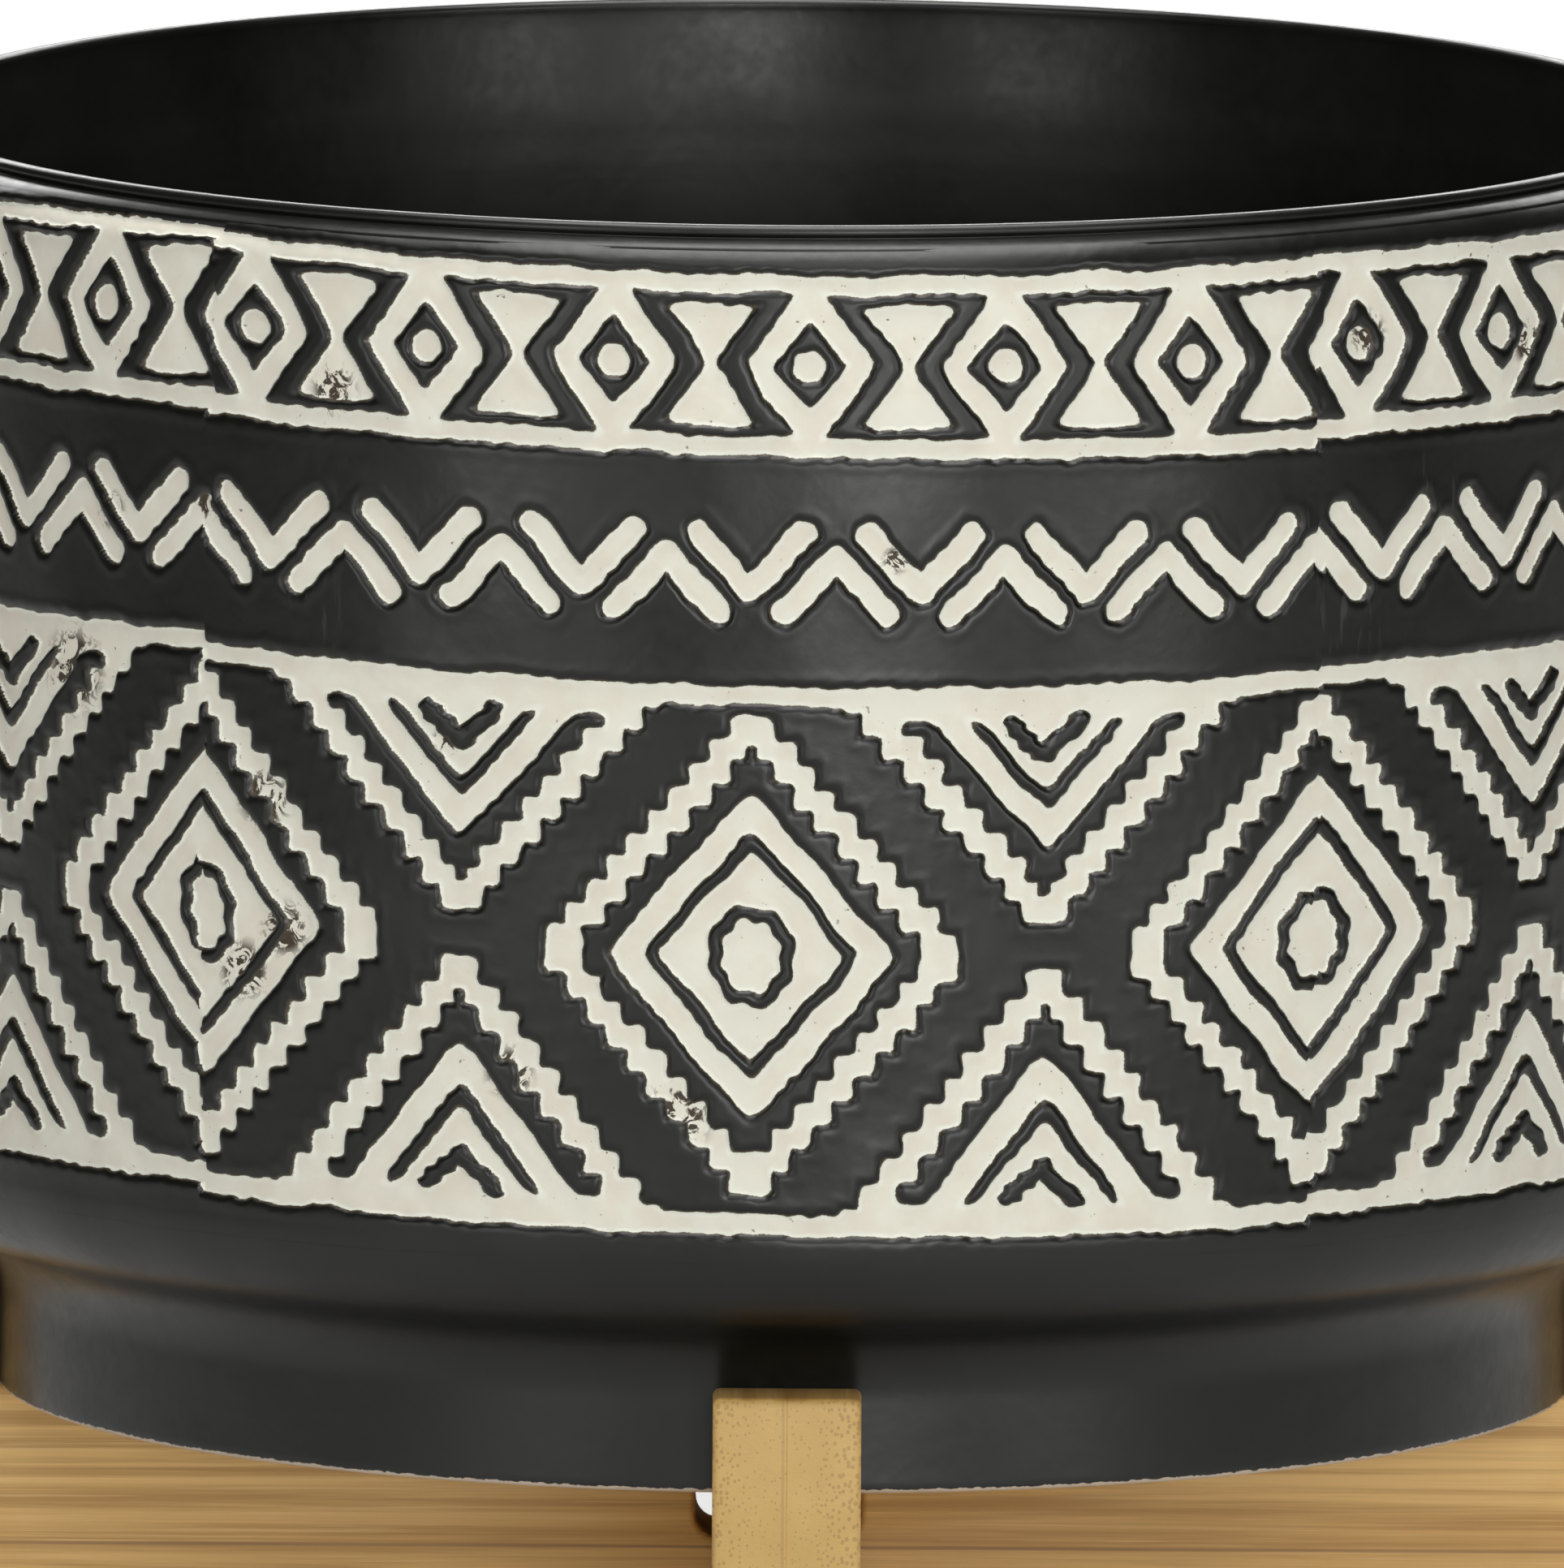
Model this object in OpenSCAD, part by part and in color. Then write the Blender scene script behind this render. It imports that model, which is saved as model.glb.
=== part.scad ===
// Round ceramic planter bowl with three relief bands, on a stand of two cross-halved boards.
// Millimetres, +Z up. The origin is on the floor, under the axis of the pot.

/* [Pot] */
// Largest diameter of the belly
belly_d = 251; // [247:1:256]
// Height of the pot, from its foot to the top of its lip
pot_h = 170.5; // [170:0.5:176]
// Outer diameter of the foot
foot_d = 210; // [196:1:212]
// Outer diameter of the lip
lip_d = 238.4; // [235:0.2:239]
// Radial thickness of the lip
lip_t = 2.2; // [2:0.2:6]
// Thickness of the wall
wall_t = 6.5; // [5.5:0.5:9]
// Thickness of the floor
floor_t = 7; // [5:0.5:12]
// Height of the foot ring under the floor
foot_ring_h = 3; // [2.5:0.5:6]
// Diameter of the drain hole
drain_d = 16; // [10:1:24]

/* [Relief] */
// Depth of the channels that hold the decoration
channel_depth = 1; // [0.8:0.1:1.5]
// Thickness of the cream slip that lines each channel
slip_t = 0.35; // [0.2:0.05:0.5]
// Number of eyes round the upper band
eye_count = 30; // [28:1:31]
// Number of chevron pairs round the middle band
chevron_count = 35; // [32:1:37]
// Number of large diamonds round the lower band
diamond_count = 10; // [9:1:10]
// Number of steps on each side of a large diamond
diamond_steps = 9; // [6:1:12]

/* [Stand] */
// Height of the seat for the pot above the floor
seat_h = 75; // [60:1:120]
// Thickness of one board, which is two plies
board_t = 20; // [16:1:24]
// Depth of a board where the two cross
web_h = 40; // [32:1:50]
// Height of the lugs above the seat
lug_h = 14.5; // [8:0.5:17]
// Radial thickness of a lug
lug_t = 11.5; // [8:0.5:16]
// Gap between the foot of the pot and a lug
lug_gap = 1.2; // [0.5:0.1:3]
// Length of a leg's sole along the board
sole_len = 27; // [18:1:40]
// Thickness of the pad under each leg
pad_t = 1.5; // [1:0.5:4]

/* [Hidden] */
$fn = 96;

// Heights on the pot are measured from its seat.
foot_r = foot_d / 2;
lip_r = lip_d / 2;
drain_r = drain_d / 2;
belly_z = 100;
turn_z = 36;
turn_r = 13;
turn_sweep = 70;
cove_r = 5;
foot_chamfer = 0.8;
foot_ring_w = 8;
shoulder_z = 163.8;
shoulder_w = 4.9;
shoulder_rise = pot_h - 1.7 - shoulder_z;
bead_r = 0.9;
lip_groove = 0.4;
belly_in_low = 1.2;
belly_in_high = 1.6;

// Lower and upper edge of each channel, and the number of short cones that make its curve
eye_band = [140.4, 163.6];
eye_cones = 3;
chevron_band = [115.6, 134.4];
chevron_cones = 2;
diamond_band = [37, 109.6];
diamond_cones = 3;
band_line = 2.4;

// The cutting tools for the relief reach from inside the channels to outside the belly.
tool_r0 = belly_d / 2 - 30;
tool_len = 40;

// Directions of the first motif of each band, counted from the front, which is -Y
eye_phase = 1.6;
chevron_phase = -2.2;
diamond_phase = -2.2;

// Stand
ply_t = board_t / 2;
lug_inner = foot_r + lug_gap;
board_half = lug_inner + lug_t;
slot_slack = 2;
slot_shift = -0.6;
slot_corner_r = 3;
halving_gap = 2.4;
arch_r = 22;
leg_splay = 5;
lug_round = 1.5;
pad_r = 8;

function belly_r(z) = belly_d / 2 - (z < belly_z
    ? belly_in_low * pow((belly_z - z) / (belly_z - turn_z), 2)
    : belly_in_high * pow((z - belly_z) / (shoulder_z - belly_z), 2));

function lerp(a, b, t) = a + (b - a) * t;

function ease(t) = t * t * (3 - 2 * t);

function arc(centre, r, a0, a1, n) = [
    for (i = [0:n])
        centre + r * [cos(lerp(a0, a1, i / n)), sin(lerp(a0, a1, i / n))]
];

// Points down one side of a band, a given depth under the surface of the belly
function band_side(band, depth, n) = [
    for (i = [0:n])
        let (z = lerp(band[0], band[1], i / n))
        [belly_r(z) - depth, z]
];

function reversed(points) = [for (i = [len(points) - 1:-1:0]) points[i]];

// The pot's outside, from its foot to the groove under the lip
turn_centre = [belly_r(turn_z) - turn_r, turn_z];
turn_start = turn_centre + turn_r * [cos(turn_sweep), -sin(turn_sweep)];
cove_end_r = foot_r + cove_r * (1 - sin(turn_sweep));
cove_end_z = turn_start[1] - (turn_start[0] - cove_end_r) / tan(turn_sweep);
cove_centre = [foot_r + cove_r, cove_end_z - cove_r * cos(turn_sweep)];

function outside_points() = concat(
    [[foot_r - foot_chamfer, 0], [foot_r, foot_chamfer]],
    arc(cove_centre, cove_r, 180, 180 - turn_sweep, 6),
    arc(turn_centre, turn_r, -turn_sweep, 0, 10),
    [[belly_r(diamond_band[0]), diamond_band[0]]],
    band_side(diamond_band, channel_depth, diamond_cones),
    [[belly_r(diamond_band[1]), diamond_band[1]], [belly_r(chevron_band[0]), chevron_band[0]]],
    band_side(chevron_band, channel_depth, chevron_cones),
    [[belly_r(chevron_band[1]), chevron_band[1]], [belly_r(eye_band[0]), eye_band[0]]],
    band_side(eye_band, channel_depth, eye_cones),
    [[belly_r(eye_band[1]), eye_band[1]]],
    [for (a = [0:17:85])
        [belly_r(shoulder_z) - shoulder_w * (1 - cos(a)), shoulder_z + shoulder_rise * sin(a)]]
);

// The lip: a small bead that stands above a fine groove on both sides
function lip_points() = concat(
    arc([lip_r - bead_r, pot_h - bead_r], bead_r, -60, 90, 6),
    arc([lip_r - lip_t + bead_r, pot_h - bead_r], bead_r, 90, 230, 6)
);

// The pot's inside, from the lip down to the floor
inside_floor_z = foot_ring_h + floor_t;
inside_foot_r = foot_r - wall_t - 0.5;
inside_corner_r = 8;
inside_belly_z = 50;
inside_flare_z = 20;

function inside_points() = concat(
    [[lip_r - lip_t + lip_groove, pot_h - 2.2]],
    [for (z = [shoulder_z:-12:inside_belly_z]) [belly_r(z) - wall_t, z]],
    [for (i = [0:8])
        let (t = i / 8)
        [lerp(belly_r(inside_belly_z) - wall_t, inside_foot_r, ease(t)),
         lerp(inside_belly_z, inside_flare_z, t)]],
    arc([inside_foot_r - inside_corner_r, inside_floor_z + inside_corner_r],
        inside_corner_r, 0, -90, 8)
);

// The underside, inside the foot ring
function underside_points() = [
    [drain_r, inside_floor_z], [drain_r, foot_ring_h],
    [foot_r - foot_ring_w - 2, foot_ring_h], [foot_r - foot_ring_w, 0],
];

module on_seat() {
    translate([0, 0, seat_h]) children();
}

module pot_body() {
    color("#2e2e2b") on_seat() rotate_extrude()
        polygon(concat(outside_points(), lip_points(), inside_points(), underside_points()));
}

// A ring that follows the belly between two depths
module band_ring(band, depth_in, depth_out, n) {
    rotate_extrude() polygon(concat(
        band_side(band, depth_in, n),
        reversed(band_side(band, depth_out, n))));
}

module slip(band, n) {
    color("#d9d5c6") on_seat() band_ring(band, channel_depth, channel_depth - slip_t, n);
}

module eye_band_slip() { slip(eye_band, eye_cones); }
module chevron_band_slip() { slip(chevron_band, chevron_cones); }
module diamond_band_slip() { slip(diamond_band, diamond_cones); }

// A flat outline pushed outwards through the wall, facing the given direction
module through_wall(angle, z) {
    rotate([0, 0, angle]) translate([0, 0, z]) rotate([90, 0, 0])
        translate([0, 0, tool_r0]) linear_extrude(tool_len) children();
}

module around(count, phase, z) {
    for (i = [0:count - 1]) through_wall(phase + i * 360 / count, z) children();
}

// Black glaze of the upper band: bow-tie frames round cream hourglasses, and diamonds round dots
eye_z = (eye_band[0] + eye_band[1]) / 2;
eye_half_h = (eye_band[1] - eye_band[0]) / 2 - band_line;
eye_half_pitch = belly_r(eye_z) * sin(180 / eye_count);

module bow_tie(half_w, waist, half_h) {
    polygon([
        [half_w, half_h], [-half_w, half_h], [-waist, 0],
        [-half_w, -half_h], [half_w, -half_h], [waist, 0],
    ]);
}

module rhombus(half_w, half_h) {
    polygon([[half_w, 0], [0, half_h], [-half_w, 0], [0, -half_h]]);
}

module hourglass_frame() {
    difference() {
        bow_tie(eye_half_pitch - 1.7, eye_half_pitch - 8.6, eye_half_h);
        bow_tie(6.2, 1.2, eye_half_h - 1.4);
    }
}

module eye() {
    difference() {
        rhombus(4.9, 5.5);
        circle(2.1);
    }
}

module eye_band_glaze() {
    color("#2e2e2b") on_seat() intersection() {
        band_ring(eye_band, channel_depth - slip_t, 0, eye_cones);
        union() {
            around(eye_count, eye_phase, eye_z) eye();
            around(eye_count, eye_phase + 180 / eye_count, eye_z) hourglass_frame();
        }
    }
}

// Black glaze of the middle band, cut through where the cream chevrons show
chevron_z = (chevron_band[0] + chevron_band[1]) / 2;
stroke_w = 3.1;
chevron_half_w = 7.6;
chevron_rise = 8.8;
chevron_offset = 2.6;

// A V of two strokes whose outer tip is a given distance from the middle of the band
module chevron(up) {
    run = [chevron_half_w, up * chevron_rise];
    across = stroke_w / 2 * [chevron_rise, -up * chevron_half_w] / norm(run);
    tip = [0, -up * chevron_offset];
    reach = [0, up * stroke_w / 2 * norm(run) / chevron_half_w];
    flip = [[-1, 0], [0, 1]];
    polygon([
        tip - reach, tip + run + across, tip + run - across,
        tip + reach, tip + flip * (run - across), tip + flip * (run + across),
    ]);
}

module chevron_band_glaze() {
    color("#2e2e2b") on_seat() difference() {
        band_ring(chevron_band, channel_depth - slip_t, 0, chevron_cones);
        around(chevron_count, chevron_phase, chevron_z) chevron(1);
        around(chevron_count, chevron_phase + 180 / chevron_count, chevron_z) chevron(-1);
    }
}

// Black glaze of the lower band: stepped diamonds, and half diamonds that stand on both lines
diamond_z = 74;
diamond_half_w = 27.4;
diamond_half_h = 31.6;
hanging_half_h = 31.2;
standing_half_h = 35;
line_clearance = 4.4;

// One quarter of a stepped diamond, from its side to its tip
function stair(w, h, n) = [
    for (i = [0:n], j = [0, 1])
        [w * (1 - i / (n + 1)), h * (i + j) / (n + 1)]
];

module stepped(w, h, n) {
    quarter = stair(w, h, n);
    half = concat(quarter, [for (p = reversed(quarter)) [-p[0], p[1]]]);
    polygon(concat(half, [for (p = reversed(half)) [p[0], -p[1]]]));
}

// The black rings inside one diamond, from the outer one to the centre
module diamond_rings(half_h) {
    k = half_h / diamond_half_h;
    difference() {
        rhombus(23.4, 26.6 * k);
        rhombus(19, 21.7 * k);
    }
    difference() {
        rhombus(14.4, 16.7 * k);
        rhombus(12.3, 13.9 * k);
    }
    difference() {
        stepped(6.2, 7.5 * k, 2);
        stepped(3.7, 5 * k, 1);
    }
}

// Keeps the part of a half diamond that is clear of the line that it stands on
module clear_of_line(side, half_h) {
    intersection() {
        children();
        translate([-diamond_half_w, side > 0 ? line_clearance : -half_h])
            square([2 * diamond_half_w, half_h - line_clearance]);
    }
}

module diamond_band_field() {
    difference() {
        band_ring([diamond_band[0] + band_line, diamond_band[1] - band_line],
            channel_depth - slip_t, 0, diamond_cones);
        around(diamond_count, diamond_phase, diamond_z)
            stepped(diamond_half_w, diamond_half_h, diamond_steps);
        around(diamond_count, diamond_phase + 180 / diamond_count, diamond_band[1])
            stepped(diamond_half_w, hanging_half_h, diamond_steps);
        around(diamond_count, diamond_phase + 180 / diamond_count, diamond_band[0])
            stepped(diamond_half_w, standing_half_h, diamond_steps);
    }
}

module diamond_band_glaze() {
    color("#2e2e2b") on_seat() {
        diamond_band_field();
        intersection() {
            band_ring(diamond_band, channel_depth - slip_t, 0, diamond_cones);
            union() {
                around(diamond_count, diamond_phase, diamond_z) diamond_rings(diamond_half_h);
                around(diamond_count, diamond_phase + 180 / diamond_count, diamond_band[1])
                    clear_of_line(-1, hanging_half_h) diamond_rings(hanging_half_h);
                around(diamond_count, diamond_phase + 180 / diamond_count, diamond_band[0])
                    clear_of_line(1, standing_half_h) diamond_rings(standing_half_h);
            }
        }
    }
}

// Rubber plug: a stem in the drain hole, a flange on the floor and a knob to pull
plug_clearance = 0.08;
plug_flange_t = 2.5;
plug_flange_w = 5;
plug_knob_r = 4;
plug_knob_h = 6;
plug_below = 1.5;

module drain_plug() {
    stem_r = drain_r - plug_clearance;
    color("#4a4844") on_seat() rotate_extrude() polygon(concat(
        [[0, foot_ring_h - plug_below], [stem_r - 1, foot_ring_h - plug_below],
         [stem_r, foot_ring_h], [stem_r, inside_floor_z],
         [drain_r + plug_flange_w, inside_floor_z]],
        arc([drain_r + plug_flange_w - plug_flange_t / 2, inside_floor_z + plug_flange_t / 2],
            plug_flange_t / 2, 0, 90, 4),
        [[plug_knob_r, inside_floor_z + plug_flange_t]],
        [for (a = [0:18:90])
            [plug_knob_r * cos(a), inside_floor_z + plug_flange_t + plug_knob_h - plug_knob_r
                + plug_knob_r * sin(a)]]));
}

// An outline with each corner [point, radius] rounded
function corner(p0, p1, p2, r, n = 5) =
    let (
        u = (p0 - p1) / norm(p0 - p1),
        v = (p2 - p1) / norm(p2 - p1),
        half = acos(u * v) / 2,
        centre = p1 + (u + v) / norm(u + v) * r / sin(half),
        start = p1 + u * r / tan(half) - centre,
        end = p1 + v * r / tan(half) - centre,
        a0 = atan2(start[1], start[0]),
        turn = atan2(start[0] * end[1] - start[1] * end[0], start * end)
    )
    arc(centre, r, a0, a0 + turn, n);

function rounded(corners) = [
    for (i = [0:len(corners) - 1])
        let (
            count = len(corners),
            previous = corners[(i + count - 1) % count][0],
            next = corners[(i + 1) % count][0]
        )
        each (corners[i][1] > 0
            ? corner(previous, corners[i][0], next, corners[i][1])
            : [corners[i][0]])
];

// The side view of a board, without its slot: legs, arch, seat and lugs
function board_corners() =
    let (
        right = [
            [[board_half - leg_splay - sole_len, pad_t], 1],
            [[board_half - leg_splay, pad_t], 1],
            [[board_half, seat_h], 30],
            [[board_half, seat_h + lug_h], lug_round],
            [[lug_inner, seat_h + lug_h], lug_round],
            [[lug_inner, seat_h], 0],
        ],
        arch = [[[board_half - leg_splay - sole_len - 4, seat_h - web_h], arch_r]],
        half = concat(arch, right)
    )
    concat(half, [for (c = reversed(half)) [[-c[0][0], c[0][1]], c[1]]]);

// The slot of a board, cut up or down from the middle of the web. The upper board's slot is deeper
// by halving_gap, so the rounded corners of one slot stay clear of the other board's edges.
module slot(open_up, shift) {
    slot_w = board_t + slot_slack;
    floor_z = seat_h - web_h / 2 + (open_up ? 0 : halving_gap);
    far_z = open_up ? seat_h + 5 : seat_h - web_h - 5;
    translate([shift, 0]) polygon(rounded([
        [[-slot_w / 2, floor_z], slot_corner_r], [[slot_w / 2, floor_z], slot_corner_r],
        [[slot_w / 2, far_z], 0], [[-slot_w / 2, far_z], 0],
    ]));
}

// One ply of a board that runs along X, from y = y0 to y = y0 + ply_t
module ply(y0, open_up, shift) {
    translate([0, y0 + ply_t, 0]) rotate([90, 0, 0]) linear_extrude(ply_t) difference() {
        polygon(rounded(board_corners()));
        slot(open_up, shift);
    }
}

module lower_board_front_ply() { color("#b98a4e") ply(-ply_t, true, slot_shift); }
module lower_board_rear_ply() { color("#b18148") ply(0, true, slot_shift); }
module upper_board_left_ply() { color("#c79c5c") rotate([0, 0, 90]) ply(0, false, 0); }
module upper_board_right_ply() { color("#bf9253") rotate([0, 0, 90]) ply(-ply_t, false, 0); }

// Round pad under the sole of one leg
module pad(angle) {
    color("#3a3835") rotate([0, 0, angle])
        translate([board_half - leg_splay - sole_len / 2, 0, 0]) cylinder(r = pad_r, h = pad_t);
}

module lower_left_pad() { pad(180); }
module lower_right_pad() { pad(0); }
module upper_front_pad() { pad(-90); }
module upper_rear_pad() { pad(90); }

pot_body();
eye_band_slip();
eye_band_glaze();
chevron_band_slip();
chevron_band_glaze();
diamond_band_slip();
diamond_band_glaze();
drain_plug();
lower_board_front_ply();
lower_board_rear_ply();
upper_board_left_ply();
upper_board_right_ply();
lower_left_pad();
lower_right_pad();
upper_front_pad();
upper_rear_pad();
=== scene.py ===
import math

import bpy
import numpy as np
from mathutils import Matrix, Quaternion, Vector


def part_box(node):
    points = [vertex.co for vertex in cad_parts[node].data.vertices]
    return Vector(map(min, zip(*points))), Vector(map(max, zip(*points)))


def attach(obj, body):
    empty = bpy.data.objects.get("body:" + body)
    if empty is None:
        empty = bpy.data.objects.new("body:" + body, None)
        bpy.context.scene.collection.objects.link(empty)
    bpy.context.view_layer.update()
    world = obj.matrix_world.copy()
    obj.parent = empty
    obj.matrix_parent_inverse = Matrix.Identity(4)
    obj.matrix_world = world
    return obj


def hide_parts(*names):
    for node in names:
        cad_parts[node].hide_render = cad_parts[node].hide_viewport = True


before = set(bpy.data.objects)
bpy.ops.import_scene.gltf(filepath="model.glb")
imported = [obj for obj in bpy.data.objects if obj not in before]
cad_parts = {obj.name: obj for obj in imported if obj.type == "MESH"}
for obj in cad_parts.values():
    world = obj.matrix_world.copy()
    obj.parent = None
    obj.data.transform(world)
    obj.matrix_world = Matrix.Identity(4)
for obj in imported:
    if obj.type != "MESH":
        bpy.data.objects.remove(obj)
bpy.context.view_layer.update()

# Lengths are in millimetres until a mesh is made. Angles round the pot are in degrees from its front, -Y,
# to the right. Heights on the pot are measured from its seat.
MM = 0.001
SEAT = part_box("pot_body")[0][2] / MM
POT_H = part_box("pot_body")[1][2] / MM - SEAT
rng = np.random.default_rng(11)

# ---------------------------------------------------------------- outline of the pot
# The belly is widest at BELLY_Z and draws in a little to both ends. Below TURN_Z the wall turns in towards
# the foot, and above SHOULDER_Z it turns in under the lip.
BELLY_R, BELLY_Z = 125.5, 100.0
DRAW_IN_LOW, DRAW_IN_HIGH = 1.2, 1.6
TURN_Z, TURN_R, TURN_SWEEP = 36.0, 13.0, math.radians(70)
SHOULDER_Z, SHOULDER_W, SHOULDER_RISE, SHOULDER_PATH = 163.8, 4.9, 5.0, 4.95
SHOULDER_SWEEP = math.radians(85)
FOOT_R, FOOT_CHAMFER, COVE_R = 105.0, 0.8, 10.0
LIP_R, LIP_T, BEAD_R = 119.2, 2.2, 0.9
WALL_T = 6.5
INSIDE_FLOOR, FOOT_RING_H, FOOT_RING_W, DRAIN_R = 10.0, 3.0, 8.0, 8.0
MM_PER_DEG = BELLY_R * math.pi / 180


def belly(z):
    """Radius of the outer wall between the turns, at height z."""
    low = DRAW_IN_LOW * ((BELLY_Z - z) / (BELLY_Z - TURN_Z)) ** 2
    high = DRAW_IN_HIGH * ((z - BELLY_Z) / (SHOULDER_Z - BELLY_Z)) ** 2
    return BELLY_R - np.where(z < BELLY_Z, low, high)


def outside(v):
    """Radius and height of the outer wall at v, a height that runs on along the turns at both ends."""
    v = np.asarray(v, float)
    turn = np.clip((TURN_Z - v) / TURN_R, 0, TURN_SWEEP)
    lean = np.clip((v - SHOULDER_Z) / SHOULDER_PATH, 0, SHOULDER_SWEEP)
    middle = np.clip(v, TURN_Z, SHOULDER_Z)
    r = belly(middle) - TURN_R * (1 - np.cos(turn)) - SHOULDER_W * (1 - np.cos(lean))
    z = middle - TURN_R * np.sin(turn) + SHOULDER_RISE * np.sin(lean)
    return r, z


def waves(theta, v, count, around, length, size):
    """Seamless noise over the wall: whole waves round the pot, and wave lengths in mm upwards."""
    total = 0.0
    for _ in range(count):
        n = int(rng.integers(around[0], around[1] + 1)) * (1 if rng.random() < 0.5 else -1)
        k = 2 * math.pi / rng.uniform(*length)
        total = total + np.sin(np.radians(theta) * n + v * k + rng.uniform(0, 2 * math.pi))
    return total * size / math.sqrt(count / 2)


# ---------------------------------------------------------------- the pattern, as signed distances
def smin(a, b, k):
    """The lesser of a and b, with the corner between them rounded over k."""
    h = np.clip(0.5 + 0.5 * (b - a) / k, 0, 1)
    return b + (a - b) * h - k * h * (1 - h)


def smax(a, b, k):
    """The greater of a and b, rounded the same way."""
    return -smin(-a, -b, k)


def soft(x, e=0.4):
    """The size of x, rounded off near nought."""
    return np.sqrt(x * x + e * e) - 0.3 * e


def rhombus(x, y, w, h, e=0.4):
    """A diamond w wide and h high to each side of its middle."""
    return (soft(x, e) / w + soft(y, e) / h - 1) * w * h / math.hypot(w, h)


def bow_tie(x, y, waist, w, h):
    """Two triangles point to point: waist wide at the middle, and w wide at height h."""
    return ((np.abs(x) - waist) * h - soft(y, 0.7) * (w - waist)) / math.hypot(h, w - waist)


def stepped(x, y, w, h, steps):
    """A diamond whose sides are stairs, with rounded corners."""
    x, y = np.abs(x), np.abs(y)
    shape = None
    for i in range(steps + 1):
        box = smax(x - w * (1 - i / (steps + 1)), y - h * (i + 1) / (steps + 1), 1.1)
        shape = box if shape is None else smin(shape, box, 0.9)
    return shape


def stroke(x, y, x0, y0, x1, y1, half):
    """A line between two points with round ends, half to each side."""
    dx, dy = x1 - x0, y1 - y0
    t = np.clip(((x - x0) * dx + (y - y0) * dy) / (dx * dx + dy * dy), 0, 1)
    return np.hypot(x - x0 - t * dx, y - y0 - t * dy) - half


def fold(theta, phase, pitch):
    """Distance in mm from the nearest of a ring of motifs."""
    return ((theta - phase + pitch / 2) % pitch - pitch / 2) * MM_PER_DEG


# Heights where each band starts and ends. A pitch is the angle from one motif to the next, and a phase the
# angle of the first. Motifs are given by their half widths and half heights.
EYE_LOW, EYE_HIGH = 140.4, 163.6
EYE_PITCH, EYE_PHASE = 12.0, 1.2
EYE_W, EYE_H, PUPIL_R = 5.0, 5.7, 2.15
TIE_MARGIN, TIE_WAIST, TIE_W = 2.4, 4.5, 11.5
TIE_HOLE_WAIST, TIE_HOLE_W, TIE_HOLE_H = 0.4, 6.5, 7.7

CHEVRON_FROM, CHEVRON_TO = 113.0, 137.0
CHEVRON_PITCH, CHEVRON_PHASE = 360 / 35, -2.3
CHEVRON_RUN, CHEVRON_HALF = 7.0, 1.6
UPPER_POINT, UPPER_ENDS, LOWER_POINT, LOWER_ENDS = 122.5, 130.2, 127.0, 119.6

DIA_LOW, DIA_HIGH = 37.0, 109.6
DIA_PITCH, DIA_PHASE, DIA_MID = 36.0, -2.13, 74.0
DIA_W, DIA_H, DIA_STEPS = 27.4, 31.6, 9
UPPER_HALF_H, LOWER_HALF_H = 31.2, 35.0
UPPER_MARGIN, LOWER_MARGIN = 2.4, 2.8
RING_W, RING_H, RING_STEPS = 22.6, 26.1, 7
RING_HOLE_W, RING_HOLE_H = 19.0, 21.7
RING_TIP_W, RING_TIP_H, RING_TIP_Y = 0.8, 2.2, 25.8
THIN_W, THIN_H, THIN_HOLE_W, THIN_HOLE_H = 14.4, 16.8, 12.3, 14.0
HEART_W, HEART_H, HEART_LINE = 5.8, 6.7, 2.0
HALF_RING_FROM = 4.2
HALF_HEART_W, HALF_HEART_H, HALF_HEART_LINE = 4.6, 10.1, 1.1
HALF_HEART_RIGHT, HALF_HEART_LEFT = 4.6, 5.2


def eye_band(theta, v):
    """Black eyes with a white pupil, and between them bow ties drawn in a black line."""
    x, y = fold(theta, EYE_PHASE, EYE_PITCH), v - (EYE_LOW + EYE_HIGH) / 2
    half = (EYE_HIGH - EYE_LOW) / 2
    eye = smax(rhombus(x, y, EYE_W, EYE_H), PUPIL_R - np.hypot(x, y), 0.2)
    across = EYE_PITCH / 2 * MM_PER_DEG - np.abs(x)
    tie_h = half - TIE_MARGIN
    outer = smax(bow_tie(across, y, TIE_WAIST, TIE_W, tie_h), np.abs(y) - tie_h, 1.1)
    bulge = 7.5 + 0.4 * (1 - (across / 6.2) ** 2)
    inner = smax(bow_tie(across, y, TIE_HOLE_WAIST, TIE_HOLE_W, TIE_HOLE_H), np.abs(y) - bulge, 1.2)
    tie = smax(outer, -inner, 0.3)
    return np.minimum(np.minimum(eye, tie), half - np.abs(y))


def chevron_band(theta, v):
    """Two rows of white chevrons on black, the upper row a V and the lower one turned over between them."""
    x = np.abs(fold(theta, CHEVRON_PHASE, CHEVRON_PITCH))
    upper = stroke(x, v, 0, UPPER_POINT, CHEVRON_RUN, UPPER_ENDS, CHEVRON_HALF)
    x = CHEVRON_PITCH / 2 * MM_PER_DEG - x
    lower = stroke(x, v, 0, LOWER_POINT, CHEVRON_RUN, LOWER_ENDS, CHEVRON_HALF)
    return -np.minimum(upper, lower)


def rings(x, y, k):
    """The two black rings inside one diamond, stretched upwards by k."""
    hole = rhombus(x, y, RING_HOLE_W, RING_HOLE_H * k, 1.0)
    outer = smax(stepped(x, y, RING_W, RING_H * k, RING_STEPS), -hole, 0.3)
    tip = smax(np.abs(x) - RING_TIP_W, np.abs(y - RING_TIP_Y * k) - RING_TIP_H, 0.8)
    thin_hole = rhombus(x, y, THIN_HOLE_W, THIN_HOLE_H * k, 0.7)
    thin = smax(rhombus(x, y, THIN_W, THIN_H * k, 0.9), -thin_hole, 0.3)
    return np.minimum(smin(outer, tip, 0.5), thin)


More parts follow.
